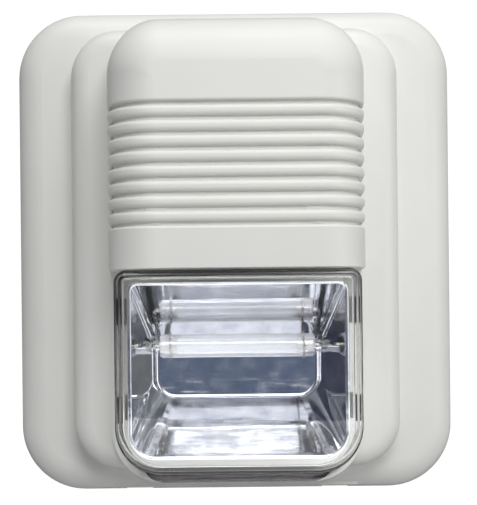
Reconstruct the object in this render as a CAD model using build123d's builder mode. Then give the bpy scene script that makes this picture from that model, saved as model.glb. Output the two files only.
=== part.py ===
from build123d import *

import os
from math import radians, tan

# Alarm siren for a wall: a piezo sounder and a xenon strobe in one moulded cover,
# which pulls straight off a back plate that is screwed to the wall.
# Millimetres. Seen from the front, +X is to the right and +Z is up. The wall is the
# plane y = 0 and the siren stands out of it towards -Y, so a "depth" below is a
# distance out from the wall. The origin is the middle of the face on the wall.

# ---- Cover, outside ----
flange_width = 114.5
flange_height = 126.6
flange_corner = 17.0
flange_depth = 13.0
flange_edge = 7.0
tier_step_x = 16.1  # flange's edge to the middle tier's edge at its front, each side
tier_step_z = 7.8  # the same, top and bottom
tier_corner = 11.5
tier_depth = 24.0
tier_edge = 4.8
tier_draft = 8.0  # degrees
spine_step_x = 9.5  # middle tier's edge to the spine's side, at the tier's front
spine_top_inset = 1.4  # flange's edge to the spine's top, where it starts
spine_bottom_inset = 0.4  # the same at the bottom
spine_start = 8.0  # depth inside the flange where the spine starts
spine_depth = 54.0
side_draft = 3.7  # degrees
top_draft = 14.0  # degrees
bottom_draft = 12.0  # degrees
spine_corner = 13.0
spine_edge = 11.5
cover_wall = 2.2
skirt_back = 0.6  # the cover's rear edge stays this far off the wall

# ---- Ribbed band on the spine ----
groove_count = 9
groove_pitch = 3.47
groove_low = 4.0  # height of the lowest groove
groove_width = 0.8
groove_cut = 1.3
rib_round = 1.1
land_round = 0.6  # edges of the plain plastic above and below the grooves
slot_height = 0.6  # sound slots, in the floors of the grooves on both flanks
slot_back = 29.0
slot_front = 43.0

# ---- Lens and its ledge ----
lens_top = -6.0  # height where the spine stops and the lens starts
ledge_rise = 2.0  # the ledge under the lens, in front of the tier
lens_margin = 1.1  # spine's side to the lens's side, at the front
lens_gap = 0.3
lens_set_back = 0.5
lens_wall = 2.0
lens_draft = 1.0  # degrees
lens_low_corner = 11.0
lens_high_corner = 3.0
lens_edge = 2.5
gasket_thick = 0.6
gasket_width = 1.0
lens_leg_width = 6.0
lens_leg_thick = 0.8
lens_leg_heights = (-16.0, -40.0)

# ---- Reflector and flash tube ----
rim_gap = 1.1  # lens's inner wall to the reflector's rim
rim_depth = 48.0
rim_top = -8.8
rim_bottom = -50.8
rim_lip = 0.8
mirror_wall = 1.0
rim_round = 0.4  # lip of the mirror, both its edges
mirror_low_corner = 6.5
mirror_high_corner = 2.5
floor_width = 41.6
floor_height = 13.0
floor_middle = -31.5
floor_depth = 21.0
mirror_floor_round = 1.2
mirror_gap = 0.5  # around the mirror, in the ledge that it stands through
mirror_leg_diameter = 5.0
mirror_leg_x = 11.0
tube_diameter = 5.7
tube_bore = 4.1
tube_length = 38.0
tube_depth = 32.0
tube_height = -24.5
pin_diameter = 0.9
sleeve_diameter = 2.2
trigger_wire_diameter = 0.4
trigger_loops = 2
trigger_pitch = 32.6

# ---- Back plate and what holds the cover on it ----
gasket_back_thick = 1.0
plate_thick = 2.5
plate_rim_height = 2.5
plate_rim_width = 1.6
plate_clearance = 0.5  # plate's edge to the inside of the cover's skirt
wall_hole_diameter = 4.5
wall_hole_inset_x = 13.25  # flange's edge to a wall screw's hole
wall_hole_inset_z = 13.5
lock_inset_x = 31.25  # flange's edge to a locking screw
lock_depth = 5.5
lock_diameter = 3.0
lock_head_diameter = 5.5
lock_head_height = 2.0
lock_length = 9.0
lock_pocket_width = 7.0
lock_land = 2.2  # wall between the screw's head and the lug
lug_width = 10.0
lug_height = 8.0
lug_gap = 0.3
peg_diameter = 4.0
peg_gap = 0.3
peg_inset_x = 21.25
peg_inset_z = 7.6
peg_length = 6.0
socket_wall = 1.5
cable_height = 16.0
cable_hole_diameter = 16.0
cable_bore_diameter = 8.0
grommet_lip = 1.8
grommet_front = 2.0  # grommet's lip in front of the plate
grommet_back = 0.15  # its rear lip stays this far off the wall

# ---- Circuit board ----
board_thick = 1.6
board_back = 14.4  # depth of the board's rear face
board_gap = 3.0
board_corner = 4.0
board_screw_inset = 4.0
board_boss_diameter = 6.5
board_screw_diameter = 2.9

# ---- Sounder ----
sounder_height = 25.0
sounder_diameter = 42.0
sounder_wall = 1.6
sounder_back = 22.0
sounder_front = 38.0
sounder_ear_reach = 26.0
sounder_ear_diameter = 6.4
sounder_post_diameter = 5.4
cone_diameter = 36.0
cone_travel = 0.3
piezo_diameter = 25.0
ceramic_diameter = 18.0

# ---- Tamper plunger ----
tamper_x = 24.0
tamper_height = -40.0
tamper_diameter = 4.0
tamper_travel = 1.8
tamper_tip = 0.1  # depth of its tip while the siren is on the wall
tamper_hole_gap = 1.0

# ---- Clearances and small fasteners ----
screw_fit = 0.05  # radial, a screw in the hole that it cuts
pass_fit = 0.25  # radial, a screw or pin in a hole that it passes through
touch_gap = 0.1  # between pieces that stand beside each other
small_screw_diameter = 2.2

# Worked out from the sizes above.
tier_width = flange_width - 2 * tier_step_x
tier_height = flange_height - 2 * tier_step_z
ledge_depth = tier_depth + ledge_rise
plate_front = gasket_back_thick + plate_thick
plate_width = flange_width - 2 * (cover_wall + plate_clearance)
plate_height = flange_height - 2 * (cover_wall + plate_clearance)
plate_corner = flange_corner - cover_wall - plate_clearance
board_front = board_back + board_thick
board_width = tier_width - 2 * (cover_wall + board_gap)
board_height = tier_height - 2 * (cover_wall + board_gap)
board_screw_x = board_width / 2 - board_screw_inset
board_screw_z = board_height / 2 - board_screw_inset
groove_high = groove_low + (groove_count - 1) * groove_pitch
lock_x = flange_width / 2 - lock_inset_x
pocket_floor = -flange_height / 2 + lock_head_height + 0.6
lug_bottom = pocket_floor + lock_land + lug_gap
wall_hole_x = flange_width / 2 - wall_hole_inset_x
wall_hole_z = flange_height / 2 - wall_hole_inset_z
peg_x = flange_width / 2 - peg_inset_x
peg_z = flange_height / 2 - peg_inset_z


def at_depth(depth):
    """Plane parallel to the wall, facing out of it."""
    return Plane.XZ.offset(depth)


def spine_side(depth):
    """Half the spine's width at a depth."""
    return tier_width / 2 - spine_step_x - (depth - tier_depth) * tan(radians(side_draft))


def spine_top(depth):
    """Height of the spine's top at a depth."""
    return flange_height / 2 - spine_top_inset - (depth - spine_start) * tan(radians(top_draft))


def spine_bottom(depth):
    """Height of the spine's bottom at a depth."""
    return spine_bottom_inset - flange_height / 2 + (depth - spine_start) * tan(radians(bottom_draft))


def tray(width, height, corner, back, front, edge, draft=0.0):
    """Block with rounded corners and a rounded front edge; it has the given size at its front."""
    spread = (front - back) * tan(radians(draft))
    with BuildPart() as block:
        with BuildSketch(at_depth(back)):
            RectangleRounded(width + 2 * spread, height + 2 * spread, corner + spread)
        extrude(amount=front - back, taper=draft)
        fillet(block.faces().sort_by(Axis.Y)[0].edges(), edge)
    return block.part


def drafted_block(back, front, half_widths, tops, bottoms):
    """Block with six flat faces. Each pair holds a value at the back and one at the front."""
    reach = 2 * max(half_widths)
    with BuildPart() as block:
        with BuildSketch(Plane.YZ):
            with BuildLine():
                Polyline(
                    (-back, bottoms[0]), (-front, bottoms[1]), (-front, tops[1]), (-back, tops[0]), close=True
                )
            make_face()
        extrude(amount=reach, both=True)
        with BuildSketch(Plane.XY.offset(2 * min(bottoms))):
            with BuildLine():
                Polyline(
                    (-half_widths[0], -back),
                    (half_widths[0], -back),
                    (half_widths[1], -front),
                    (-half_widths[1], -front),
                    close=True,
                )
            make_face()
        extrude(amount=2 * max(tops) - 2 * min(bottoms) + 2 * reach, mode=Mode.INTERSECT)
    return block.part


def slanted_edges(block):
    """The four long corner edges of a drafted block, those of the bottom first."""
    reach = block.part.bounding_box().size.Y
    along = [edge for edge in block.edges() if edge.bounding_box().size.Y > 0.9 * reach]
    return ShapeList(along).sort_by(Axis.Z)


def spine_block(inset):
    """The spine, or its hollow when inset by the wall."""
    front = spine_depth - inset
    with BuildPart() as block:
        add(
            drafted_block(
                spine_start,
                front,
                (spine_side(spine_start) - inset, spine_side(front) - inset),
                (spine_top(spine_start) - inset, spine_top(front) - inset),
                (spine_bottom(spine_start) + inset, spine_bottom(front) + inset),
            )
        )
        fillet(slanted_edges(block), spine_corner - inset)
        fillet(block.faces().sort_by(Axis.Y)[0].edges(), spine_edge - inset)
    return block.part


def spine_slice(inset, height):
    """Slice of the spine's straight middle, standing on z = 0."""
    front = spine_depth - inset
    with BuildPart() as slab:
        with BuildSketch(Plane.XY):
            with BuildLine():
                FilletPolyline(
                    (-spine_side(ledge_depth) + inset, -ledge_depth),
                    (-spine_side(front) + inset, -front),
                    (spine_side(front) - inset, -front),
                    (spine_side(ledge_depth) - inset, -ledge_depth),
                    radius=spine_edge - inset,
                )
                half = spine_side(ledge_depth) - inset
                Line((half, -ledge_depth), (-half, -ledge_depth))
            make_face()
        extrude(amount=height)
    return slab.part


def rib():
    """One rounded rib, as thick as the land between two grooves."""
    with BuildPart() as slab:
        add(spine_slice(0, groove_pitch - groove_width))
        ends = (slab.faces().sort_by(Axis.Z)[0], slab.faces().sort_by(Axis.Z)[-1])
        edges = [edge for face in ends for edge in face.edges()]
        fillet([edge for edge in edges if edge.bounding_box().min.Y < -ledge_depth - 1], rib_round)
    return slab.part


def lens_block(inset):
    """The lens, or its hollow when inset by its wall."""
    foot = ledge_depth + gasket_thick - inset
    front = spine_depth - lens_set_back - inset
    side_front = spine_side(spine_depth) - lens_margin
    side_foot = side_front + (front - foot) * tan(radians(lens_draft))
    top = lens_top - lens_gap
    with BuildPart() as block:
        add(
            drafted_block(
                foot,
                front,
                (side_foot - inset, side_front - inset),
                (top - inset, top - inset),
                (spine_bottom(foot) + inset, spine_bottom(front) + inset),
            )
        )
        corners = slanted_edges(block)
        fillet(corners[:2], lens_low_corner - inset)
        upper = [edge for edge in slanted_edges(block) if abs(edge.center().Z - top + inset) < 0.01]
        fillet([edge for edge in upper if abs(edge.center().X) > side_front / 2], lens_high_corner - inset)
        fillet(block.faces().sort_by(Axis.Y)[0].edges(), max(lens_edge - inset, 0.4))
    return block.part


def block_at(x, z, width, height, back, front):
    """Box centred at x and z, from one depth to another."""
    with BuildPart() as block:
        with BuildSketch(at_depth(back)):
            with Locations((x, z)):
                Rectangle(width, height)
        extrude(amount=front - back)
    return block.part


def rod(x, z, diameter, back, front):
    """Cylinder straight out from the wall."""
    with BuildPart() as cylinder:
        with BuildSketch(at_depth(back)):
            with Locations((x, z)):
                Circle(diameter / 2)
        extrude(amount=front - back)
    return cylinder.part


# ---- Outlines shared by the cover and the pieces in it ----
cover_outside = [
    tray(flange_width, flange_height, flange_corner, skirt_back, flange_depth, flange_edge),
    tray(tier_width, tier_height, tier_corner, spine_start, tier_depth, tier_edge, tier_draft),
    spine_block(0),
]
hollow_back = skirt_back - 1
flange_hollow = tray(
    flange_width - 2 * cover_wall,
    flange_height - 2 * cover_wall,
    flange_corner - cover_wall,
    hollow_back,
    flange_depth - cover_wall,
    flange_edge - cover_wall,
)
tier_hollow = tray(
    tier_width - 2 * cover_wall,
    tier_height - 2 * cover_wall,
    tier_corner - cover_wall,
    hollow_back,
    tier_depth - cover_wall,
    tier_edge - cover_wall,
    tier_draft,
)
lens_inner_side = spine_side(spine_depth) - lens_margin - lens_wall
rim_side = lens_inner_side - rim_gap + rim_lip / 2
leg_side = lens_inner_side + (spine_depth - lens_set_back - ledge_depth) * tan(radians(lens_draft))
full_reach = 2 * flange_width

with BuildPart() as dome_hollow:
    add(spine_block(cover_wall))
    floor_slab_middle = lens_top + cover_wall - flange_height / 2
    ledge_back = ledge_depth - cover_wall
    below_dome = block_at(0, floor_slab_middle, full_reach, flange_height, ledge_back, spine_depth + 1)
    add(below_dome, mode=Mode.SUBTRACT)

lens_zone = block_at(0, lens_top - flange_height / 2, full_reach, flange_height, ledge_depth, spine_depth + 1)

band_bottom = groove_low - groove_width / 2
band_height = groove_high - groove_low + groove_width
band_top = band_bottom + band_height
with BuildPart() as rib_band:
    add(spine_slice(-2, band_height))
    add(spine_slice(groove_cut, band_height), mode=Mode.SUBTRACT)
band_cut = rib_band.part.moved(Location((0, 0, band_bottom)))
band_core = spine_slice(groove_cut / 2, band_height + 2).moved(Location((0, 0, band_bottom - 1))).solid()
one_rib = rib()


def band_edges(block):
    """Outer edges of the plain plastic that the ribbed band stops at, above and below."""
    flat = [edge for edge in block.edges() if edge.bounding_box().size.Z < 0.01]
    ends = (band_bottom, band_top)
    at_band = [edge for edge in flat if min(abs(edge.center().Z - end) for end in ends) < 0.01]
    outer = [edge for edge in at_band if not band_core.is_inside(edge @ 0.5)]
    return [edge for edge in outer if edge.center().Y < -ledge_depth - 1]


def mirror_block(inset, back):
    """Tapered trough, or its hollow when inset by the wall."""
    floor_top = floor_middle + floor_height / 2
    floor_bottom = floor_middle - floor_height / 2
    grow = mirror_wall - inset
    with BuildPart() as block:
        add(
            drafted_block(
                back,
                rim_depth,
                (floor_width / 2 + grow, rim_side - inset),
                (floor_top + grow, rim_top - inset),
                (floor_bottom - grow, rim_bottom + inset),
            )
        )
        corners = slanted_edges(block)
        fillet([edge for edge in corners if edge.center().Z < floor_middle], mirror_low_corner - inset)
        corners = [edge for edge in slanted_edges(block) if edge.center().Z > floor_middle]
        straight = [edge for edge in corners if edge.geom_type == GeomType.LINE]
        fillet(straight[-2:], mirror_high_corner - inset)
        fillet(block.faces().sort_by(Axis.Y)[-1].edges(), mirror_floor_round + grow)
    return block.part


lock_places = [-lock_x, lock_x]
peg_places = [(-peg_x, peg_z), (peg_x, peg_z)]
ear_offset = sounder_ear_reach / 2**0.5
ear_places = [(sx * ear_offset, sounder_height + sz * ear_offset) for sx in (-1, 1) for sz in (-1, 1)]
board_places = [(sx * board_screw_x, sz * board_screw_z) for sx in (-1, 1) for sz in (-1, 1)]


def sounder_post(x, z):
    """Post inside the spine's front, ending within its wall."""
    with BuildPart() as post:
        add(rod(x, z, sounder_post_diameter, sounder_front, spine_depth))
        add(spine_block(cover_wall / 2), mode=Mode.INTERSECT)
    return post.part


# ---- Cover ----
with BuildPart() as front_housing:
    add(cover_outside)
    add(band_cut, mode=Mode.SUBTRACT)
    for index in range(groove_count - 1):
        height = band_bottom + groove_width + index * groove_pitch
        add(one_rib.moved(Location((0, 0, height))))
    fillet(band_edges(front_housing), land_round)
    add(lens_zone, mode=Mode.SUBTRACT)
    add([flange_hollow, tier_hollow, dome_hollow.part], mode=Mode.SUBTRACT)
    # Pockets in the bottom edge, which hide the locking screws' heads.
    for x in lock_places:
        pad_height = lug_bottom - lug_gap + flange_height / 2 - cover_wall / 2
        pad_middle = lug_bottom - lug_gap - pad_height / 2
        pad_width = lock_pocket_width + 2 * cover_wall
        add(block_at(x, pad_middle, pad_width, pad_height, skirt_back, flange_depth - cover_wall))
        pocket_height = flange_height / 2 + pocket_floor + 2
        pocket_middle = pocket_floor - pocket_height / 2
        pocket_front = lock_depth + lock_pocket_width / 2 - 0.5
        add(
            block_at(x, pocket_middle, lock_pocket_width, pocket_height, hollow_back, pocket_front),
            mode=Mode.SUBTRACT,
        )
        slot_width = lock_diameter + 2 * pass_fit
        add(block_at(x, lug_bottom, slot_width, 8, hollow_back, lock_depth), mode=Mode.SUBTRACT)
        with BuildSketch(Plane.XY.offset(lug_bottom - 4)):
            with Locations((x, -lock_depth)):
                Circle(slot_width / 2)
        extrude(amount=8, mode=Mode.SUBTRACT)
    # Sockets for the back plate's pegs.
    for x, z in peg_places:
        socket_bore = peg_diameter + 2 * peg_gap
        socket_back = plate_front + plate_rim_height + 0.5
        add(rod(x, z, socket_bore + 2 * socket_wall, socket_back, flange_depth - 0.7 * cover_wall))
        add(rod(x, z, socket_bore, hollow_back, plate_front + peg_length + 0.6), mode=Mode.SUBTRACT)
    # Bosses for the board's screws and posts for the sounder's.
    for x, z in board_places:
        add(rod(x, z, board_boss_diameter, board_front, tier_depth - cover_wall / 2))
        pilot = board_screw_diameter + 2 * screw_fit
        add(rod(x, z, pilot, board_front - 1, tier_depth - cover_wall), mode=Mode.SUBTRACT)
    for x, z in ear_places:
        add(sounder_post(x, z))
        pilot = small_screw_diameter + 2 * screw_fit
        add(rod(x, z, pilot, sounder_front - 1, sounder_front + 6), mode=Mode.SUBTRACT)
    # Opening in the ledge for the reflector, with notches for the lens's legs.
    add(mirror_block(-mirror_gap, floor_depth - mirror_wall - mirror_gap), mode=Mode.SUBTRACT)
    for side in (-1, 1):
        for z in lens_leg_heights:
            notch_width = 4.0
            notch_x = side * (leg_side + lens_leg_thick + 0.2 - notch_width / 2)
            notch = block_at(notch_x, z, notch_width, lens_leg_width + 0.6, ledge_back - 1, ledge_depth + 1)
            add(notch, mode=Mode.SUBTRACT)
    # Sound slots, in the floors of the grooves.
    for index in range(groove_count):
        z = groove_low + index * groove_pitch
        for side in (-1, 1):
            x = side * (spine_side(slot_front) - groove_cut - cover_wall / 4)
            add(block_at(x, z, 2 * cover_wall, slot_height, slot_back, slot_front), mode=Mode.SUBTRACT)
front_housing.part.label = "front_housing"

# ---- Lens and its gasket ----
with BuildPart() as strobe_lens:
    add(lens_block(0))
    add(lens_block(lens_wall), mode=Mode.SUBTRACT)
    # Snap legs, which hook behind the ledge.
    leg_back = ledge_depth - cover_wall - 2.0
    leg_x = leg_side + lens_leg_thick / 2
    for side in (-1, 1):
        for z in lens_leg_heights:
            leg_front = ledge_depth + gasket_thick + 1.5
            add(block_at(side * leg_x, z, lens_leg_thick, lens_leg_width, leg_back, leg_front))
            barb_x = leg_x + lens_leg_thick
            barb_front = ledge_depth - cover_wall - touch_gap
            add(block_at(side * barb_x, z, lens_leg_thick, lens_leg_width, leg_back + 0.4, barb_front))
strobe_lens.part.label = "strobe_lens"


def lens_slice(inset, back, front):
    """Slice of the lens's foot, with its straight walls inset."""
    top = lens_top - lens_gap - inset
    bottom = spine_bottom(ledge_depth + gasket_thick) + inset
    side = leg_side + lens_wall - inset
    with BuildPart() as slab:
        with BuildSketch(at_depth(back)) as outline:
            with Locations((0, (top + bottom) / 2)):
                Rectangle(2 * side, top - bottom)
            low = outline.vertices().group_by(Axis.Y)[0]
            high = outline.vertices().group_by(Axis.Y)[-1]
            fillet(low, lens_low_corner - inset)
            fillet(high, max(lens_high_corner - inset, 0.5))
        extrude(amount=front - back)
    return slab.part


with BuildPart() as lens_gasket:
    add(lens_slice(0.15, ledge_depth, ledge_depth + gasket_thick))
    add(lens_slice(0.15 + gasket_width, ledge_depth - 1, ledge_depth + gasket_thick + 1), mode=Mode.SUBTRACT)
lens_gasket.part.label = "lens_gasket"


# ---- Reflector ----
tube_lead_x = tube_length / 2 + 1.9  # where the pins turn towards the board
tube_pin_x = floor_width / 2 - sleeve_diameter / 2 - 0.4  # where they pass the floor
mirror_leg_places = [(-mirror_leg_x, floor_middle), (mirror_leg_x, floor_middle)]
trigger_wire_x = (trigger_loops - 1) / 2 * trigger_pitch

with BuildPart() as reflector:
    add(mirror_block(0, floor_depth - mirror_wall))
    add(mirror_block(mirror_wall, floor_depth), mode=Mode.SUBTRACT)
    for x, z in mirror_leg_places:
        add(rod(x, z, mirror_leg_diameter, board_front, floor_depth - mirror_wall / 2))
        pilot = small_screw_diameter + 2 * screw_fit
        add(rod(x, z, pilot, board_front - 1, floor_depth - mirror_wall - 0.4), mode=Mode.SUBTRACT)
    for x in (-tube_pin_x, tube_pin_x):
        sleeve_hole = sleeve_diameter + 2 * screw_fit
        add(rod(x, tube_height, sleeve_hole, board_front, tube_depth), mode=Mode.SUBTRACT)
    wire_hole = trigger_wire_diameter + 2 * pass_fit
    add(rod(trigger_wire_x, tube_height, wire_hole, board_front, tube_depth), mode=Mode.SUBTRACT)
    rim_face = reflector.faces().sort_by(Axis.Y)[0]
    fillet(rim_face.edges(), rim_round)
reflector.part.label = "reflector"


# ---- Back plate, its gasket and its grommet ----
wall_hole_places = [(sx * wall_hole_x, sz * wall_hole_z) for sx in (-1, 1) for sz in (-1, 1)]
notch_width = lock_pocket_width + 2 * cover_wall + 2 * plate_clearance


def plate_outline(inset, back, front):
    """Slab of the back plate's outline, notched for the cover's screw pockets."""
    with BuildPart() as slab:
        with BuildSketch(at_depth(back)):
            RectangleRounded(plate_width - 2 * inset, plate_height - 2 * inset, plate_corner - inset)
            notch_height = plate_height
            with Locations(*[(x, lug_bottom + inset - notch_height / 2) for x in lock_places]):
                Rectangle(notch_width + 2 * inset, notch_height, mode=Mode.SUBTRACT)
        extrude(amount=front - back)
    return slab.part


with BuildPart() as back_plate:
    add(plate_outline(0, gasket_back_thick, plate_front + plate_rim_height))
    add(plate_outline(plate_rim_width, plate_front, flange_depth), mode=Mode.SUBTRACT)
    for x in lock_places:
        lug_front = lock_depth + lock_diameter / 2 + 2.5
        add(block_at(x, lug_bottom + lug_height / 2, lug_width, lug_height, gasket_back_thick, lug_front))
    with BuildSketch(Plane.XY.offset(lug_bottom - 1)):
        with Locations(*[(x, -lock_depth) for x in lock_places]):
            Circle(lock_diameter / 2 + screw_fit)
    extrude(amount=lug_height + 2, mode=Mode.SUBTRACT)
    for x, z in peg_places:
        add(rod(x, z, peg_diameter, gasket_back_thick, plate_front + peg_length))
    for x, z in wall_hole_places:
        add(rod(x, z, 2.4 * wall_hole_diameter, plate_front - 0.2, plate_front + 0.8))
        add(rod(x, z, wall_hole_diameter, hollow_back, flange_depth), mode=Mode.SUBTRACT)
    add(rod(0, cable_height, cable_hole_diameter, hollow_back, flange_depth), mode=Mode.SUBTRACT)
    tamper_hole = tamper_diameter + 2 * tamper_hole_gap
    add(rod(tamper_x, tamper_height, tamper_hole, hollow_back, flange_depth), mode=Mode.SUBTRACT)
back_plate.part.label = "back_plate"

with BuildPart() as wall_gasket:
    add(plate_outline(0.4, 0, gasket_back_thick))
    for x, z in wall_hole_places:
        add(rod(x, z, wall_hole_diameter + 1.5, -1, flange_depth), mode=Mode.SUBTRACT)
    lip_room = cable_hole_diameter + 2 * grommet_lip + 1.0
    add(rod(0, cable_height, lip_room, -1, flange_depth), mode=Mode.SUBTRACT)
    add(rod(tamper_x, tamper_height, tamper_hole + 1.0, -1, flange_depth), mode=Mode.SUBTRACT)
wall_gasket.part.label = "wall_gasket"

with BuildPart() as cable_grommet:
    lip_diameter = cable_hole_diameter + 2 * grommet_lip
    add(rod(0, cable_height, cable_hole_diameter - 2 * screw_fit, grommet_back, plate_front + grommet_front))
    add(rod(0, cable_height, lip_diameter, grommet_back, gasket_back_thick))
    add(rod(0, cable_height, lip_diameter, plate_front, plate_front + grommet_front))
    fillet(cable_grommet.faces().sort_by(Axis.Y)[0].edges(), 0.6)
    add(rod(0, cable_height, cable_bore_diameter, hollow_back, flange_depth), mode=Mode.SUBTRACT)
cable_grommet.part.label = "cable_grommet"


# ---- Screws ----
def screw(plane, diameter, length, head_diameter, head_height):
    """Cross-head screw: its head's seat is on the plane and its shank goes along the normal."""
    with BuildPart() as fastener:
        with BuildSketch(plane):
            Circle(head_diameter / 2)
        extrude(amount=-head_height)
        rings = fastener.edges().filter_by(GeomType.CIRCLE)
        crown = rings.sort_by(lambda ring: plane.to_local_coords(ring.center()).Z)[0]
        fillet(crown, 0.4 * head_height)
        with BuildSketch(plane):
            Circle(diameter / 2)
        extrude(amount=length)
        with BuildSketch(plane.offset(-head_height)):
            Rectangle(0.6 * head_diameter, 0.14 * head_diameter)
            Rectangle(0.14 * head_diameter, 0.6 * head_diameter)
        extrude(amount=0.5 * head_height, mode=Mode.SUBTRACT)
    return fastener.part


def screws_from_behind(places, seat, diameter, length, head_diameter, head_height):
    """Screws driven from the wall's side, with their heads' seats at one depth."""
    seats = [Plane((x, -seat, z), x_dir=(1, 0, 0), z_dir=(0, -1, 0)) for x, z in places]
    return [screw(plane, diameter, length, head_diameter, head_height) for plane in seats]


with BuildPart() as lock_screws:
    for x in lock_places:
        seat = Plane((x, -lock_depth, pocket_floor), x_dir=(1, 0, 0), z_dir=(0, 0, 1))
        add(screw(seat, lock_diameter, lock_length, lock_head_diameter, lock_head_height))
lock_screws.part.label = "lock_screws"

with BuildPart() as board_screws:
    board_screw_length = tier_depth - cover_wall - board_back - 0.4
    add(screws_from_behind(board_places, board_back, board_screw_diameter, board_screw_length, 5.4, 1.8))
board_screws.part.label = "board_screws"

with BuildPart() as reflector_screws:
    screw_length = floor_depth - mirror_wall - 0.6 - board_back
    add(screws_from_behind(mirror_leg_places, board_back, small_screw_diameter, screw_length, 4.2, 1.4))
reflector_screws.part.label = "reflector_screws"

with BuildPart() as sounder_screws:
    flange_seat = sounder_front - 2.0
    add(screws_from_behind(ear_places, flange_seat, small_screw_diameter, 7.0, 4.0, 1.3))
sounder_screws.part.label = "sounder_screws"


# ---- Circuit board and what stands on it, towards the wall ----
capacitor_x, capacitor_z = -19.0, -12.0
capacitor_diameter, capacitor_length = 10.0, 22.0
filter_x, filter_z = 26.0, 34.0
transformer_x, transformer_z = 18.0, -12.0
trigger_coil_x, trigger_coil_z = -20.0, -40.0
terminal_x, terminal_z = -21.5, 17.0
terminal_ways = 4
terminal_pitch = 5.08
terminal_height = 9.4
inductor_x, inductor_z = 27.0, 10.0
chip_x, chip_z = -20.0, 38.0
transistor_x, transistor_z = 4.0, 36.0
pin_hole = 1.0

resistor_places = [(-34.0, 3.0), (-33.0, 34.0), (-3.0, 31.0), (5.0, -28.0), (30.0, -24.0), (-4.0, -43.0)]
diode_places = [(-29.0, -26.0), (-5.0, -29.0), (33.0, -4.0), (14.0, 26.0)]
resistor_diameter, resistor_length = 2.2, 6.2
diode_diameter, diode_length = 2.6, 5.0
axial_tail = 1.4  # end of the body to where its wire goes through the board

part_leads = {
    "flash_capacitor": [(capacitor_x - 12.6, capacitor_z - 2.5), (capacitor_x - 12.6, capacitor_z + 2.5)],
    "filter_capacitor": [(filter_x - 1.75, filter_z - 7.6), (filter_x + 1.75, filter_z - 7.6)],
}
for places, length in ((resistor_places, resistor_length), (diode_places, diode_length)):
    for x, z in places:
        reach = length / 2 + axial_tail
        part_leads[x, z] = [(x, z - reach), (x, z + reach)]

with BuildPart() as circuit_board:
    with BuildSketch(at_depth(board_back)):
        RectangleRounded(board_width, board_height, board_corner)
        with Locations(*board_places):
            Circle(board_screw_diameter / 2 + pass_fit, mode=Mode.SUBTRACT)
        with Locations(*mirror_leg_places):
            Circle(small_screw_diameter / 2 + pass_fit, mode=Mode.SUBTRACT)
        with Locations((-tube_pin_x, tube_height), (tube_pin_x, tube_height)):
            Circle(pin_diameter / 2 + 0.1, mode=Mode.SUBTRACT)
        with Locations(*[place for places in part_leads.values() for place in places]):
            Circle(pin_hole / 2, mode=Mode.SUBTRACT)
    extrude(amount=board_thick)
circuit_board.part.label = "circuit_board"


def lead(x, z, start, tail_x, tail_z):
    """Wire from the end of a lying part, turned down through the board."""
    wire = 0.6
    with BuildPart() as bent:
        with BuildLine() as path:
            FilletPolyline(
                (x, -start, z), (tail_x, -start, tail_z), (tail_x, -board_front - 0.8, tail_z), radius=1.0
            )
        with BuildSketch(Plane(path.line @ 0, z_dir=path.line % 0)):
            Circle(wire / 2)
        sweep()
    return bent.part


def lying_can(x, z, diameter, length, along_x):
    """Electrolytic capacitor lying on the board, with the crimp near its lead end."""
    middle = board_back - diameter / 2
    groove = 0.35
    turn = (1, 0, 0) if along_x else (0, 0, 1)
    plane = Plane((x, -middle, z), x_dir=turn, z_dir=(0, 1, 0))
    half, reach = diameter / 2, length / 2
    with BuildPart() as can:
        with BuildSketch(plane):
            with BuildLine():
                Polyline(
                    (-reach, 0),
                    (-reach, half),
                    (-reach + 1.6, half),
                    (-reach + 2.2, half - groove),
                    (-reach + 2.8, half),
                    (reach, half),
                    (reach, 0),
                    close=True,
                )
            make_face()
        revolve(axis=Axis((x, -middle, z), turn))
        rims = can.edges().filter_by(GeomType.CIRCLE).filter_by(lambda e: abs(e.radius - half) < 1e-4)
        ends = ShapeList(rims).sort_by(Axis(origin=(0, 0, 0), direction=turn))
        fillet([ends[0], ends[-1]], 0.5)
    return can.part


with BuildPart() as flash_capacitor:
    add(lying_can(capacitor_x, capacitor_z, capacitor_diameter, capacitor_length, True))
    can_end = capacitor_x - capacitor_length / 2 + 0.2
    can_middle = board_back - capacitor_diameter / 2
    for x, z in part_leads["flash_capacitor"]:
        add(lead(can_end, z, can_middle, x, z))
flash_capacitor.part.label = "flash_capacitor"

with BuildPart() as filter_capacitor:
    add(lying_can(filter_x, filter_z, 8.0, 12.0, False))
    for x, z in part_leads["filter_capacitor"]:
        add(lead(x, filter_z - 5.8, board_back - 4.0, x, z))
filter_capacitor.part.label = "filter_capacitor"

core_width, core_height, core_thick = 18.0, 15.0, 5.0
window_width, window_height, leg_width = 4.2, 8.6, 4.4
coil_half = 4.6
core_middle = board_back - coil_half - 0.1
with BuildPart() as transformer_core:
    core_back = core_middle - core_thick / 2
    add(block_at(transformer_x, transformer_z, core_width, core_height, core_back, core_back + core_thick))
    for side in (-1, 1):
        window_x = transformer_x + side * (leg_width + window_width) / 2
        core_front = core_back + core_thick
        window = block_at(window_x, transformer_z, window_width, window_height, core_back - 1, core_front + 1)
        add(window, mode=Mode.SUBTRACT)
transformer_core.part.label = "transformer_core"

with BuildPart() as transformer_coil:
    coil_height = window_height - 0.4
    with BuildSketch(Plane.XY.offset(transformer_z - coil_height / 2)):
        with Locations((transformer_x, -core_middle)):
            RectangleRounded(leg_width + 2 * window_width - 1.2, 2 * coil_half, 2.0)
            Rectangle(leg_width + 0.3, core_thick + 0.3, mode=Mode.SUBTRACT)
    extrude(amount=coil_height)
    for x in (transformer_x - 3, transformer_x + 3):
        for z in (transformer_z - 2.5, transformer_z + 2.5):
            add(rod(x, z, 0.7, board_back - 0.6, board_back))
transformer_coil.part.label = "transformer_coil"

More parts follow.
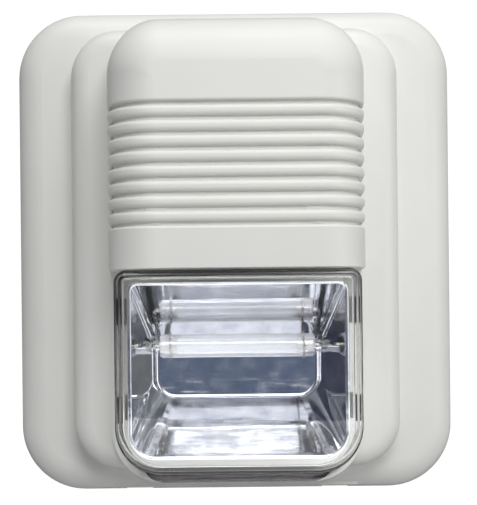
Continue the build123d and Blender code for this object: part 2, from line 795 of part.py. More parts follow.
with BuildPart() as trigger_coil:
    add(rod(trigger_coil_x, trigger_coil_z, 7.0, board_back - 8.5, board_back))
    add(rod(trigger_coil_x, trigger_coil_z, 5.6, board_back - 7.3, board_back - 1.2), mode=Mode.SUBTRACT)
    add(rod(trigger_coil_x, trigger_coil_z, 6.4, board_back - 7.3, board_back - 1.2))
trigger_coil.part.label = "trigger_coil"

with BuildPart() as sounder_inductor:
    add(rod(inductor_x, inductor_z, 10.0, board_back - 1.4, board_back))
    add(rod(inductor_x, inductor_z, 8.0, board_back - 8.0, board_back - 1.0))
    add(rod(inductor_x, inductor_z, 10.0, board_back - 9.2, board_back - 7.8))
sounder_inductor.part.label = "sounder_inductor"

terminal_length = terminal_ways * terminal_pitch
terminal_width = 8.2
terminal_back = board_back - terminal_height
first_way = terminal_x - (terminal_ways - 1) / 2 * terminal_pitch
way_places = [first_way + index * terminal_pitch for index in range(terminal_ways)]
cage_width, cage_height, cage_length = 3.6, 4.4, 5.0
cage_back = terminal_back + 3.2
screw_z = terminal_z - 0.6
with BuildPart() as terminal_block:
    add(block_at(terminal_x, terminal_z, terminal_length, terminal_width, terminal_back, board_back))
    back_edges = terminal_block.faces().sort_by(Axis.Y)[-1].edges().filter_by(Axis.X)
    chamfer(back_edges, 1.2)
    for x in way_places:
        add(rod(x, screw_z, 3.8, terminal_back - 1, cage_back + 0.5), mode=Mode.SUBTRACT)
        mouth = terminal_z - terminal_width / 2 + cage_length / 2
        cavity = block_at(x, mouth, cage_width, cage_length + 1.0, cage_back, cage_back + cage_height)
        add(cavity, mode=Mode.SUBTRACT)
terminal_block.part.label = "terminal_block"

with BuildPart() as terminal_cages:
    for x in way_places:
        middle = terminal_z - terminal_width / 2 + cage_length / 2 + 0.3
        wall = 0.5
        outer = cage_width - 0.1
        add(block_at(x, middle, outer, cage_length - 0.8, cage_back + 0.05, cage_back + cage_height - 0.05))
        inside = block_at(
            x, middle, outer - 2 * wall, cage_length, cage_back + 1.2, cage_back + cage_height - 0.05 - wall
        )
        add(inside, mode=Mode.SUBTRACT)
terminal_cages.part.label = "terminal_cages"

with BuildPart() as terminal_screws:
    for x in way_places:
        add(rod(x, screw_z, 3.2, cage_back - 1.6, cage_back))
        slot = block_at(x, screw_z, 3.4, 0.6, cage_back - 1.8, cage_back - 0.9)
        add(slot, mode=Mode.SUBTRACT)
terminal_screws.part.label = "terminal_screws"

with BuildPart() as power_transistor:
    add(block_at(transistor_x, transistor_z, 10.0, 4.4, board_back - 9.4, board_back - 1.0))
    for index in (-1, 0, 1):
        add(block_at(transistor_x + 2.54 * index, transistor_z, 0.9, 0.5, board_back - 1.2, board_back))
power_transistor.part.label = "power_transistor"

with BuildPart() as heatsink:
    sink_z = transistor_z + 2.2 + 0.6
    add(block_at(transistor_x, sink_z, 16.0, 1.2, board_back - 9.4, board_back))
    for side in (-1, 1):
        add(block_at(transistor_x + side * 7.4, sink_z + 2.4, 1.2, 5.0, board_back - 9.4, board_back))
heatsink.part.label = "heatsink"

with BuildPart() as control_chip:
    add(block_at(chip_x, chip_z, 9.4, 6.2, board_back - 3.9, board_back - 0.6))
    chamfer(control_chip.faces().sort_by(Axis.Y)[-1].edges(), 0.3)
    for row in (-1, 1):
        for index in range(4):
            leg_x = chip_x + (index - 1.5) * 2.54
            add(block_at(leg_x, chip_z + row * 3.4, 0.6, 0.8, board_back - 2.4, board_back))
control_chip.part.label = "control_chip"


def axial_part(x, z, diameter, length):
    """Resistor or diode lying along Z, with its two wires."""
    middle = board_back - diameter / 2 - 0.2
    with BuildPart() as body:
        with BuildSketch(Plane.XY.offset(z - length / 2)):
            with Locations((x, -middle)):
                Circle(diameter / 2)
        extrude(amount=length)
        fillet(body.edges().filter_by(GeomType.CIRCLE), 0.25 * diameter)
        for end in (-1, 1):
            tail = z + end * (length / 2 + axial_tail)
            add(lead(x, z + end * (length / 2 - 0.3), middle, x, tail), mode=Mode.ADD)
    return body.part


with BuildPart() as resistors:
    for x, z in resistor_places:
        add(axial_part(x, z, resistor_diameter, resistor_length))
resistors.part.label = "resistors"

with BuildPart() as diodes:
    for x, z in diode_places:
        add(axial_part(x, z, diode_diameter, diode_length))
diodes.part.label = "diodes"

# ---- Flash tube in the reflector ----
with BuildPart() as flash_tube:
    with BuildSketch(Plane.XY.offset(tube_height)):
        with BuildLine():
            FilletPolyline(
                (-tube_length / 2, -tube_depth - tube_bore / 2),
                (-tube_length / 2, -tube_depth - tube_diameter / 2),
                (tube_length / 2, -tube_depth - tube_diameter / 2),
                (tube_length / 2, -tube_depth - tube_bore / 2),
                radius=(tube_diameter - tube_bore) * 0.45,
            )
            bore_line = -tube_depth - tube_bore / 2
            Line((tube_length / 2, bore_line), (-tube_length / 2, bore_line))
        make_face()
    revolve(axis=Axis((0, -tube_depth, tube_height), (1, 0, 0)))
flash_tube.part.label = "flash_tube"


def electrode(side):
    """Metal plug in one end of the tube, with a pin that turns down to the board."""
    plug_length = 4.3
    plug_radius = tube_bore / 2 - screw_fit
    end = side * tube_length / 2
    with BuildPart() as metal:
        with BuildSketch(Plane.YZ.offset(end)):
            with Locations((-tube_depth, tube_height)):
                Circle(plug_radius)
        extrude(amount=-side * plug_length, dir=(1, 0, 0))
        with BuildLine() as path:
            FilletPolyline(
                (end - side, -tube_depth, tube_height),
                (side * tube_lead_x, -tube_depth, tube_height),
                (side * tube_pin_x, -floor_depth - 2.5, tube_height),
                (side * tube_pin_x, -board_back + 1.0, tube_height),
                radius=[0.9, 6.0],
            )
        with BuildSketch(Plane(path.line @ 0, z_dir=path.line % 0)):
            Circle(pin_diameter / 2)
        sweep()
    return metal.part


with BuildPart() as tube_electrodes:
    for side in (-1, 1):
        add(electrode(side))
tube_electrodes.part.label = "tube_electrodes"

with BuildPart() as tube_sleeves:
    for x in (-tube_pin_x, tube_pin_x):
        add(rod(x, tube_height, sleeve_diameter, board_front, floor_depth + 1.6))
        bore = pin_diameter + 2 * screw_fit
        add(rod(x, tube_height, bore, board_back, floor_depth + 2), mode=Mode.SUBTRACT)
tube_sleeves.part.label = "tube_sleeves"

with BuildPart() as trigger_wire:
    loop_radius = tube_diameter / 2 + trigger_wire_diameter / 2 + 0.12
    wire_radius = trigger_wire_diameter / 2
    for index in range(trigger_loops):
        x = (index - (trigger_loops - 1) / 2) * trigger_pitch
        loop_top = Plane((x, -tube_depth, tube_height + loop_radius), x_dir=(1, 0, 0), z_dir=(0, 1, 0))
        with BuildSketch(loop_top):
            Circle(wire_radius)
        revolve(axis=Axis((x, -tube_depth, tube_height), (1, 0, 0)))
    back_of_loop = tube_depth - loop_radius
    with BuildSketch(Plane.YZ.offset(-trigger_wire_x - wire_radius)):
        with Locations((-back_of_loop, tube_height)):
            Circle(1.3 * wire_radius)
    extrude(amount=2 * trigger_wire_x + 2 * wire_radius)
    add(rod(trigger_wire_x + wire_radius, tube_height, trigger_wire_diameter, board_front, back_of_loop))
trigger_wire.part.label = "trigger_wire"

# ---- Sounder ----
sounder_axis = Axis((0, 0, sounder_height), (0, 1, 0))
cup_bore = sounder_diameter / 2 - sounder_wall
cone_back = 27.0
cone_thick = 0.6
cone_rim_depth = 33.0
travel_room = cone_travel + 0.15


def turned(points):
    """Piece of revolution on the sounder's axis, from points of depth and radius."""
    with BuildPart() as piece:
        with BuildSketch(Plane.YZ):
            with BuildLine():
                Polyline(*[(-depth, sounder_height + radius) for depth, radius in points], close=True)
            make_face()
        revolve(axis=sounder_axis)
    return piece.part


def disc(diameter, back, front):
    return rod(0, sounder_height, diameter, back, front)


with BuildPart() as sounder_housing:
    add(disc(sounder_diameter, sounder_back, sounder_front))
    with BuildSketch(at_depth(sounder_front - 2)):
        with Locations((0, sounder_height)):
            side = 2 * ear_offset + sounder_ear_diameter
            RectangleRounded(side, side, sounder_ear_diameter / 2 - 0.01)
        with Locations(*ear_places):
            Circle(small_screw_diameter / 2 + pass_fit, mode=Mode.SUBTRACT)
    extrude(amount=2)
    add(disc(2 * cup_bore, cone_rim_depth - travel_room, sounder_front + 1), mode=Mode.SUBTRACT)
    add(disc(cone_diameter - 3, sounder_back + sounder_wall, sounder_front), mode=Mode.SUBTRACT)
    for x in (-5, 5):
        add(rod(x, sounder_height, 1.6, sounder_back - 1, sounder_front), mode=Mode.SUBTRACT)
sounder_housing.part.label = "sounder_housing"

with BuildPart() as sounder_ring:
    ring_back = cone_rim_depth + cone_thick + travel_room
    add(disc(2 * (cup_bore - 0.05), ring_back, sounder_front))
    add(disc(cone_diameter - 4, ring_back - 1, sounder_front + 1), mode=Mode.SUBTRACT)
    for width, height in ((cone_diameter - 3, 1.6), (1.6, cone_diameter - 3)):
        add(block_at(0, sounder_height, width, height, sounder_front - 1.6, sounder_front))
    add(disc(9, sounder_front - 1.6, sounder_front))
sounder_ring.part.label = "sounder_ring"

with BuildPart() as sounder_cone:
    rim_front = cone_rim_depth + cone_thick
    add(
        turned(
            [
                (cone_back, 0),
                (cone_back, 6),
                (cone_rim_depth, cone_diameter / 2 - 3),
                (cone_rim_depth, cone_diameter / 2),
                (rim_front, cone_diameter / 2),
                (rim_front, cone_diameter / 2 - 3.3),
                (cone_back + cone_thick, 5.7),
                (cone_back + cone_thick, 0),
            ]
        )
    )
sounder_cone.part.label = "sounder_cone"

with BuildPart() as piezo_plate:
    add(disc(piezo_diameter, cone_back - 0.4, cone_back))
piezo_plate.part.label = "piezo_plate"

with BuildPart() as piezo_ceramic:
    add(disc(ceramic_diameter, cone_back - 0.7, cone_back - 0.4))
piezo_ceramic.part.label = "piezo_ceramic"

with BuildPart() as sounder_leads:
    lead_diameter = 1.2
    for x in (-5, 5):
        with BuildLine() as path:
            FilletPolyline(
                (x, -sounder_back - sounder_wall - 0.5, sounder_height),
                (x, -sounder_back + 2.6, sounder_height),
                (x, -sounder_back + 2.6, sounder_height - 12),
                (x, -board_front, sounder_height - 12),
                radius=1.6,
            )
        with BuildSketch(Plane(path.line @ 0, z_dir=path.line % 0)):
            Circle(lead_diameter / 2)
        sweep()
sounder_leads.part.label = "sounder_leads"

# ---- Tamper switch, its plunger and spring ----
switch_height = 6.0
switch_back = board_back - switch_height
collar_depth = plate_front + tamper_travel + 0.3
collar_thick = 0.8
collar_diameter = 6.8
with BuildPart() as tamper_switch:
    add(block_at(tamper_x, tamper_height, 10.0, 8.0, switch_back, board_back))
    chamfer(tamper_switch.edges().filter_by(Axis.Y), 0.8)
    guide = tamper_diameter + 0.1
    add(rod(tamper_x, tamper_height, guide, switch_back - 1, board_back - 0.8), mode=Mode.SUBTRACT)
tamper_switch.part.label = "tamper_switch"

with BuildPart() as tamper_plunger:
    add(rod(tamper_x, tamper_height, tamper_diameter, tamper_tip, board_back - 1.2))
    fillet(tamper_plunger.faces().sort_by(Axis.Y)[-1].edges(), 0.9)
    add(rod(tamper_x, tamper_height, collar_diameter, collar_depth, collar_depth + collar_thick))
tamper_plunger.part.label = "tamper_plunger"

with BuildPart() as tamper_spring:
    spring_wire = 0.4
    spring_radius = tamper_diameter / 2 + spring_wire / 2 + 0.25
    spring_back = collar_depth + collar_thick + spring_wire / 2 + 0.02
    spring_front = switch_back - spring_wire / 2 - 0.02
    spring_turns = 3
    with BuildLine() as path:
        Helix(
            pitch=(spring_front - spring_back) / spring_turns,
            height=spring_front - spring_back,
            radius=spring_radius,
            center=(tamper_x, -spring_back, tamper_height),
            direction=(0, -1, 0),
        )
    with BuildSketch(Plane(path.line @ 0, z_dir=path.line % 0)):
        Circle(spring_wire / 2)
    sweep(is_frenet=True)
tamper_spring.part.label = "tamper_spring"

pieces = [
    front_housing, strobe_lens, lens_gasket, reflector, reflector_screws, flash_tube, tube_electrodes,
    tube_sleeves, trigger_wire, sounder_housing, sounder_ring, sounder_cone, piezo_plate, piezo_ceramic,
    sounder_leads, sounder_screws, circuit_board, board_screws, terminal_block, terminal_cages,
    terminal_screws, flash_capacitor, filter_capacitor, transformer_core, transformer_coil, trigger_coil,
    sounder_inductor, power_transistor, heatsink, control_chip, resistors, diodes, tamper_switch,
    tamper_plunger, tamper_spring, back_plate, wall_gasket, cable_grommet, lock_screws,
]  # fmt: skip
os.makedirs("parts", exist_ok=True)
for piece in pieces:
    export_step(piece.part, "parts/" + piece.part.label + ".step")
    print(piece.part.label, len(piece.part.solids()), "solids", round(piece.part.volume), "mm3")
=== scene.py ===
# %% [markdown]
# # A wall siren with a strobe
#
# The object is a small alarm siren for a wall: a stepped white plastic cover, a ribbed
# dome over the sounder, and a clear lens over a mirrored trough with a flash tube in it.
# The engineering model is loaded first and stays fixed. This script sets up the studio
# and gives every part its finish. It adds no shapes of its own.

from math import radians

import bpy
from mathutils import Matrix, Vector

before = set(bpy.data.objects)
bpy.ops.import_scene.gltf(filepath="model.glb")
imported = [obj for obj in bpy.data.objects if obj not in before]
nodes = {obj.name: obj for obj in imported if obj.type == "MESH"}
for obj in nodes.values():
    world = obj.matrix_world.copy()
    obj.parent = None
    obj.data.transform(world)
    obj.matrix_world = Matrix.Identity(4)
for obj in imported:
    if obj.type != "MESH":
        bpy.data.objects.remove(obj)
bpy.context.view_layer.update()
MM = 0.001

# %% [markdown]
# ## The camera
#
# The siren was looked at square on, from about a third of a metre away and a little
# below its middle. A camera could be aimed at the middle, but then the flange's sides
# would lean together. Kept level with the wall and shifted in its frame, as with an
# architect's lens, it keeps them parallel. A very small roll finishes the pose.

# %% Camera
eye = Vector((-4.2, -325.0, -15.3)) * MM
camera_data = bpy.data.cameras.new("studio_camera")
camera_data.lens = 84.8
camera_data.sensor_width = 36.0
camera_data.shift_x = 0.037
camera_data.shift_y = 0.110
camera_data.clip_start = 0.01
camera = bpy.data.objects.new("studio_camera", camera_data)
bpy.context.scene.collection.objects.link(camera)
level = Matrix.Rotation(radians(90), 4, "X")
roll = Matrix.Rotation(radians(-0.6), 4, "Z")
camera.matrix_world = Matrix.Translation(eye) @ level @ roll
bpy.context.scene.camera = camera
print("camera is", round(-eye.y, 3), "m from the wall")

# %% [markdown]
# ## Studio: floor, sky and soft lights
#
# White plastic shows its form only by soft gradients, and chrome shows only what stands
# around it. So the studio is pale, with a soft key light in front and above, one
# overhead, a weaker one from the right, and cards for the mirror to find. The cards are
# seen by reflections and through glass alone, as a product studio's flags and
# reflectors are.

# %% A finish with plain numbers
def new_finish(name, color, roughness, **sockets):
    """A Principled material with its plain numbers set on the shader."""
    finish = bpy.data.materials.new(name)
    finish.use_nodes = True
    shader = finish.node_tree.nodes["Principled BSDF"]
    shader.inputs["Base Color"].default_value = (*color, 1)
    shader.inputs["Roughness"].default_value = roughness
    for socket, value in sockets.items():
        shader.inputs[socket.replace("_", " ")].default_value = value
    return finish


# %% Floor
floor_size = 6.0
floor_level = -0.30

bpy.ops.object.select_all(action="DESELECT")
bpy.ops.mesh.primitive_plane_add(size=floor_size, location=(0, 0, floor_level))
floor = bpy.context.object
floor.name = "studio_floor"
floor_glow = {"Emission_Color": (1, 1, 1, 1), "Emission_Strength": 0.85}
pale_floor = new_finish("pale_floor", (0.9, 0.9, 0.9), 0.9, **floor_glow)
floor.data.materials.append(pale_floor)
floor.visible_diffuse = False
print("floor is", -floor_level, "m below the siren's middle")

# %% Sky
def studio_sky(camera_level, light_level):
    """Even white for the eye, and a dimmer, slightly cool grey as light."""
    world = bpy.data.worlds.new("studio_sky")
    bpy.context.scene.world = world
    world.use_nodes = True
    tree = world.node_tree
    tree.nodes.clear()
    output = tree.nodes.new("ShaderNodeOutputWorld")
    mix = tree.nodes.new("ShaderNodeMixShader")
    seen = tree.nodes.new("ShaderNodeBackground")
    lit = tree.nodes.new("ShaderNodeBackground")
    path = tree.nodes.new("ShaderNodeLightPath")
    seen.inputs["Color"].default_value = (1, 1, 1, 1)
    seen.inputs["Strength"].default_value = camera_level
    lit.inputs["Color"].default_value = (0.98, 0.99, 1.0, 1)
    lit.inputs["Strength"].default_value = light_level
    tree.links.new(path.outputs["Is Camera Ray"], mix.inputs["Fac"])
    tree.links.new(lit.outputs["Background"], mix.inputs[1])
    tree.links.new(seen.outputs["Background"], mix.inputs[2])
    tree.links.new(mix.outputs["Shader"], output.inputs["Surface"])


studio_sky(camera_level=1.05, light_level=0.26)
bpy.context.scene.view_settings.view_transform = "Standard"

# %% Lights
siren_middle = Vector((0, -0.027, 0))


def soft_light(name, place, width, height, watts):
    """A rectangular soft light that faces the siren."""
    data = bpy.data.lights.new(name, "AREA")
    data.shape = "RECTANGLE"
    data.size = width
    data.size_y = height
    data.energy = watts
    lamp = bpy.data.objects.new(name, data)
    bpy.context.scene.collection.objects.link(lamp)
    lamp.location = place
    lamp.rotation_euler = (siren_middle - Vector(place)).to_track_quat("-Z", "Y").to_euler()
    return lamp


key_light = soft_light("key_light", place=(0.10, -0.62, 0.36), width=0.35, height=0.30, watts=2.1)
top_light = soft_light("top_light", place=(0.03, -0.25, 0.68), width=0.6, height=0.3, watts=2.0)
right_light = soft_light("right_light", place=(0.60, -0.45, 0.10), width=0.3, height=0.5, watts=1.1)
print("lights:", key_light.name, top_light.name, right_light.name)

# %% [markdown]
# ### Cards for the mirror
#
# A ray that enters the trough leaves it after one to three bounces, and where it leaves
# to decides how each wall looks. The floor of the trough sees just below straight ahead,
# the lower wall sees upwards, and each side wall sees the opposite side at about 20 to 40
# degrees. A card stands in each of those places. One more stands behind and below, where
# the lens's lower edge bends the view to.

# %% Cards
def card(name, place, width, height, shade):
    """A glowing or dark panel that only reflections and clear pieces see."""
    bpy.ops.object.select_all(action="DESELECT")
    bpy.ops.mesh.primitive_plane_add(size=1)
    panel = bpy.context.object
    panel.name = name
    panel.scale = (width, height, 1)
    panel.location = place
    panel.rotation_euler = (siren_middle - Vector(place)).to_track_quat("Z", "Y").to_euler()
    glow = {"Emission_Color": (*shade, 1), "Emission_Strength": 1.0}
    cloth = new_finish(name + "_cloth", (0, 0, 0), 1.0, Specular_IOR_Level=0.0, **glow)
    panel.data.materials.append(cloth)
    for way in ("camera", "diffuse", "shadow"):
        setattr(panel, "visible_" + way, False)


card("trough_card", place=(0.0, -0.90, -0.078), width=0.34, height=0.084, shade=(0.11, 0.14, 0.21))
card("low_card", place=(0.0, -0.90, -0.178), width=0.40, height=0.11, shade=(1.2, 1.2, 1.25))
card("front_card", place=(0.0, -0.90, 0.115), width=0.40, height=0.16, shade=(1.5, 1.5, 1.55))
card("high_card", place=(0.0, -0.75, 0.28), width=0.5, height=0.16, shade=(1.15, 1.15, 1.15))
card("left_card", place=(-0.42, -0.60, 0.0), width=0.52, height=0.5, shade=(0.05, 0.05, 0.08))
card("right_card", place=(0.38, -0.75, -0.02), width=0.40, height=0.3, shade=(0.18, 0.18, 0.18))
card("floor_card", place=(0.0, 0.12, -0.12), width=0.50, height=0.14, shade=(0.03, 0.02, 0.03))

# %% [markdown]
# ## Finishes
#
# Each finish is a small node tree on the Principled shader. Patterns are placed by
# Object coordinates, which are metres here, so a grain of a quarter of a millimetre
# stays that size on every part. A plain number is set on the shader's own socket, and
# only what varies over the surface is fed by nodes.

# %% Finish helpers
noise_low, noise_high = 0.3, 0.7  # where nearly all of a noise's values lie


def shader_of(finish):
    """The Principled shader that a finish is built on."""
    return finish.node_tree.nodes["Principled BSDF"]


def pattern(finish, size, detail=2.0, stretch=(1, 1, 1), kind="ShaderNodeTexNoise"):
    """Noise on Object coordinates, with grains about size metres across."""
    tree = finish.node_tree
    place = tree.nodes.new("ShaderNodeTexCoord")
    mapping = tree.nodes.new("ShaderNodeMapping")
    mapping.inputs["Scale"].default_value = stretch
    texture = tree.nodes.new(kind)
    texture.inputs["Scale"].default_value = 1 / size
    if "Detail" in texture.inputs:
        texture.inputs["Detail"].default_value = detail
    tree.links.new(place.outputs["Object"], mapping.inputs["Vector"])
    tree.links.new(mapping.outputs["Vector"], texture.inputs["Vector"])
    return texture


def ramp(finish, source, stops):
    """Turns a pattern's value into colours. Each stop is a place and a colour."""
    tree = finish.node_tree
    colors = tree.nodes.new("ShaderNodeValToRGB")
    while len(colors.color_ramp.elements) < len(stops):
        colors.color_ramp.elements.new(0.5)
    for element, (place, color) in zip(colors.color_ramp.elements, stops):
        element.position = place
        element.color = (*color, 1)
    tree.links.new(source, colors.inputs["Fac"])
    return colors.outputs["Color"]


def tint(finish, size, stops, **options):
    """Base colour that varies with a pattern."""
    texture = pattern(finish, size, **options)
    color = ramp(finish, texture.outputs[0], stops)
    finish.node_tree.links.new(color, shader_of(finish).inputs["Base Color"])


def vary_roughness(finish, size, low, high, **options):
    """Roughness that wanders between two values."""
    texture = pattern(finish, size, **options)
    span = finish.node_tree.nodes.new("ShaderNodeMapRange")
    span.inputs["From Min"].default_value = noise_low
    span.inputs["From Max"].default_value = noise_high
    span.inputs["To Min"].default_value = low
    span.inputs["To Max"].default_value = high
    finish.node_tree.links.new(texture.outputs[0], span.inputs["Value"])
    finish.node_tree.links.new(span.outputs["Result"], shader_of(finish).inputs["Roughness"])


def grain(finish, size, depth, strength=1.0, **options):
    """Small relief, with bumps of about depth metres. A second call adds to the first."""
    tree = finish.node_tree
    texture = pattern(finish, size, **options)
    bump = tree.nodes.new("ShaderNodeBump")
    bump.inputs["Strength"].default_value = strength
    bump.inputs["Distance"].default_value = depth
    tree.links.new(texture.outputs[0], bump.inputs["Height"])
    normal = shader_of(finish).inputs["Normal"]
    if normal.is_linked:
        tree.links.new(normal.links[0].from_socket, bump.inputs["Normal"])
    tree.links.new(bump.outputs["Normal"], normal)


# %% [markdown]
# ### White moulded plastic
#
# The cover is ABS with a fine spark-eroded satin skin. A flat white would look like
# paper, so the colour drifts a little, the gloss wanders, and a fine grain with a very
# shallow waviness from the mould breaks up the highlights.

# %% White plastic
white_abs = new_finish("white_abs", (0.80, 0.80, 0.77), 0.42, Specular_IOR_Level=0.45)
tint(white_abs, 0.035, [(0.35, (0.775, 0.778, 0.745)), (0.65, (0.80, 0.803, 0.768))], detail=3.0)
vary_roughness(white_abs, 0.012, 0.38, 0.47, detail=3.0)
grain(white_abs, 0.00032, 0.000012, strength=0.5, detail=2.0)
grain(white_abs, 0.02, 0.00012, strength=0.25, detail=1.0)

plate_abs = new_finish("plate_abs", (0.78, 0.78, 0.75), 0.5, Specular_IOR_Level=0.4)
tint(plate_abs, 0.02, [(0.3, (0.74, 0.74, 0.71)), (0.7, (0.79, 0.79, 0.76))], detail=4.0)
grain(plate_abs, 0.0006, 0.00002, strength=0.6, detail=3.0)

# %% [markdown]
# ### Clear and mirrored finishes
#
# The lens is polished polycarbonate: nearly perfect, with slow waves from moulding that
# bend what is seen through it. The reflector is plastic with a vapour-deposited mirror,
# so it is a metal finish on a surface that isn't quite flat. The flash tube is glass.

# %% Lens, mirror and glass
lens_clear = new_finish("lens_clear", (0.985, 0.99, 0.99), 0.02, Transmission_Weight=1.0, IOR=1.45)
grain(lens_clear, 0.012, 0.00006, strength=0.35, detail=1.0, stretch=(0.6, 1, 1.6))

mirror_chrome = new_finish("mirror_chrome", (0.80, 0.81, 0.84), 0.06, Metallic=1.0)
tint(mirror_chrome, 0.006, [(0.3, (0.74, 0.75, 0.79)), (0.7, (0.86, 0.87, 0.89))], detail=3.0)
vary_roughness(mirror_chrome, 0.004, 0.03, 0.11, detail=2.0)
grain(mirror_chrome, 0.007, 0.0002, strength=0.3, detail=2.0, stretch=(0.35, 1, 1.8))

tube_glass = new_finish("tube_glass", (0.94, 0.95, 0.98), 0.05, Transmission_Weight=0.75, IOR=1.47)
grain(tube_glass, 0.006, 0.00004, strength=0.3, detail=1.0, stretch=(0.3, 1, 1))

# %% [markdown]
# ### Metals
#
# Screws and leads are plated. Plating is never even, so colour and gloss wander at about
# the size of a screw head, with fine turning marks as a grain.

# %% Metals
def metal(name, dark, light, roughness, mark=0.0003):
    """Plated metal, with marks about mark metres apart."""
    finish = new_finish(name, light, roughness, Metallic=1.0)
    tint(finish, 0.0015, [(0.3, dark), (0.7, light)], detail=3.0)
    vary_roughness(finish, 0.001, roughness - 0.08, roughness + 0.1, detail=2.0)
    grain(finish, mark, 0.00001, strength=0.5, detail=2.0)
    return finish


zinc_steel = metal("zinc_steel", (0.50, 0.51, 0.53), (0.68, 0.68, 0.67), 0.3)
nickel = metal("nickel", (0.50, 0.48, 0.45), (0.68, 0.66, 0.62), 0.22)
nickel_brass = metal("nickel_brass", (0.58, 0.53, 0.38), (0.74, 0.70, 0.58), 0.3)
sheet_brass = metal("sheet_brass", (0.60, 0.45, 0.18), (0.78, 0.62, 0.30), 0.28)
spring_steel = metal("spring_steel", (0.36, 0.36, 0.37), (0.55, 0.55, 0.56), 0.3)
sink_aluminium = metal("sink_aluminium", (0.60, 0.61, 0.62), (0.76, 0.76, 0.77), 0.38, mark=0.0006)

# %% [markdown]
# ### Rubber, foam and dark plastics
#
# These differ mostly in gloss and grain: foam is open and matt, rubber has a soft
# sheen, and moulded housings have a fine satin grain.

# %% Dull finishes
grains_per_tint = 6
grains_per_sheen = 8
sheen_drift = 0.06


def dull(name, dark, light, roughness, size, depth):
    """Matt or satin finish with grains of size metres, and slower drifts of tint and sheen."""
    finish = new_finish(name, light, roughness)
    tint(finish, grains_per_tint * size, [(0.3, dark), (0.7, light)], detail=3.0)
    vary_roughness(finish, grains_per_sheen * size, roughness - sheen_drift, roughness + sheen_drift)
    grain(finish, size, depth, strength=0.7, detail=3.0)
    return finish


black_foam = dull("black_foam", (0.02, 0.02, 0.02), (0.06, 0.06, 0.06), 0.9, 0.0007, 0.0001)
black_rubber = dull("black_rubber", (0.018, 0.018, 0.018), (0.035, 0.035, 0.035), 0.6, 0.0004, 0.00002)
grey_silicone = dull("grey_silicone", (0.66, 0.66, 0.65), (0.76, 0.76, 0.75), 0.45, 0.0005, 0.00001)
black_plastic = dull("black_plastic", (0.025, 0.025, 0.027), (0.045, 0.045, 0.048), 0.42, 0.0004, 0.00002)
black_epoxy = dull("black_epoxy", (0.022, 0.022, 0.022), (0.04, 0.04, 0.04), 0.55, 0.0003, 0.00002)
cone_film = dull("cone_film", (0.11, 0.11, 0.12), (0.19, 0.19, 0.20), 0.5, 0.0006, 0.00003)
ferrite = dull("ferrite", (0.04, 0.04, 0.042), (0.09, 0.09, 0.09), 0.5, 0.0005, 0.00003)
silvered_ceramic = dull("silvered_ceramic", (0.68, 0.66, 0.60), (0.83, 0.81, 0.76), 0.35, 0.0005, 0.00001)
white_nylon = dull("white_nylon", (0.78, 0.78, 0.74), (0.88, 0.88, 0.84), 0.3, 0.0008, 0.00001)
terminal_green = dull("terminal_green", (0.02, 0.22, 0.09), (0.05, 0.33, 0.14), 0.4, 0.0005, 0.00001)
red_insulation = dull("red_insulation", (0.42, 0.02, 0.015), (0.60, 0.05, 0.03), 0.35, 0.0005, 0.00001)
capacitor_sleeve = dull("capacitor_sleeve", (0.015, 0.02, 0.05), (0.035, 0.045, 0.10), 0.25, 0.001, 0.00001)
resistor_lacquer = dull("resistor_lacquer", (0.46, 0.36, 0.22), (0.62, 0.50, 0.32), 0.35, 0.0005, 0.00001)

# %% [markdown]
# ### Board and windings
#
# The board has a pale solder mask, mottled by the weave of the glass cloth under it, for
# which cell noise serves. The coils are wrapped in varnished amber film, so their grain
# is stretched to run along each turn.

# %% Board and windings
board_mask = new_finish("board_mask", (0.66, 0.68, 0.66), 0.3, Specular_IOR_Level=0.6)
mask_stops = [(0.46, (0.56, 0.58, 0.55)), (0.54, (0.70, 0.71, 0.69))]
tint(board_mask, 0.0022, mask_stops, kind="ShaderNodeTexVoronoi")
grain(board_mask, 0.0004, 0.00001, strength=0.4)

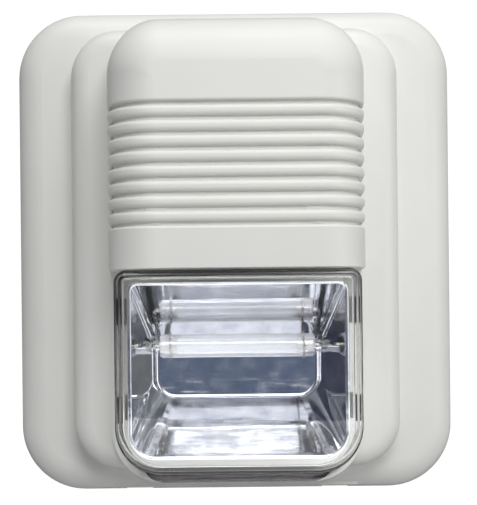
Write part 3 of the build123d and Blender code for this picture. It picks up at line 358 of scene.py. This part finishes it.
amber_winding = new_finish("amber_winding", (0.60, 0.36, 0.05), 0.3, Coat_Weight=0.4)
amber_stops = [(0.3, (0.45, 0.22, 0.03)), (0.7, (0.70, 0.45, 0.10))]
tint(amber_winding, 0.0015, amber_stops, stretch=(0.2, 0.2, 1.5))
grain(amber_winding, 0.0004, 0.00005, strength=0.8, stretch=(0.1, 0.1, 1))
print("finishes made:", len(bpy.data.materials))

# %% [markdown]
# ## Dressing the engineering parts
#
# Their shapes are right already, so each one keeps its mesh and only gets its finish.

# %% Assign finishes
finish_of = {
    white_abs: ["front_housing"],
    plate_abs: ["back_plate"],
    lens_clear: ["strobe_lens"],
    mirror_chrome: ["reflector"],
    tube_glass: ["flash_tube"],
    zinc_steel: ["lock_screws", "board_screws", "reflector_screws", "sounder_screws", "terminal_screws"],
    nickel: ["tube_electrodes", "trigger_wire"],
    nickel_brass: ["terminal_cages"],
    sheet_brass: ["piezo_plate"],
    spring_steel: ["tamper_spring"],
    sink_aluminium: ["heatsink"],
    black_foam: ["wall_gasket"],
    black_rubber: ["cable_grommet"],
    grey_silicone: ["lens_gasket", "tube_sleeves"],
    black_plastic: ["sounder_housing", "sounder_ring", "tamper_switch"],
    black_epoxy: ["power_transistor", "control_chip", "diodes"],
    cone_film: ["sounder_cone"],
    ferrite: ["transformer_core", "sounder_inductor"],
    silvered_ceramic: ["piezo_ceramic"],
    white_nylon: ["tamper_plunger"],
    terminal_green: ["terminal_block"],
    red_insulation: ["sounder_leads"],
    capacitor_sleeve: ["flash_capacitor", "filter_capacitor"],
    resistor_lacquer: ["resistors"],
    board_mask: ["circuit_board"],
    amber_winding: ["transformer_coil", "trigger_coil"],
}
dressed = set()
for finish, names in finish_of.items():
    for name in names:
        mesh = nodes[name].data
        mesh.materials.clear()
        mesh.materials.append(finish)
        dressed.add(name)
print("parts without a finish:", sorted(set(nodes) - dressed))

# %% [markdown]
# A clear piece would shade what is behind it as if it were solid, because light reaches
# through it only by luck. So the lens and the tube cast no shadow.

# %% Clear pieces
for name in ("strobe_lens", "flash_tube"):
    nodes[name].visible_shadow = False
    print(name, "casts no shadow")
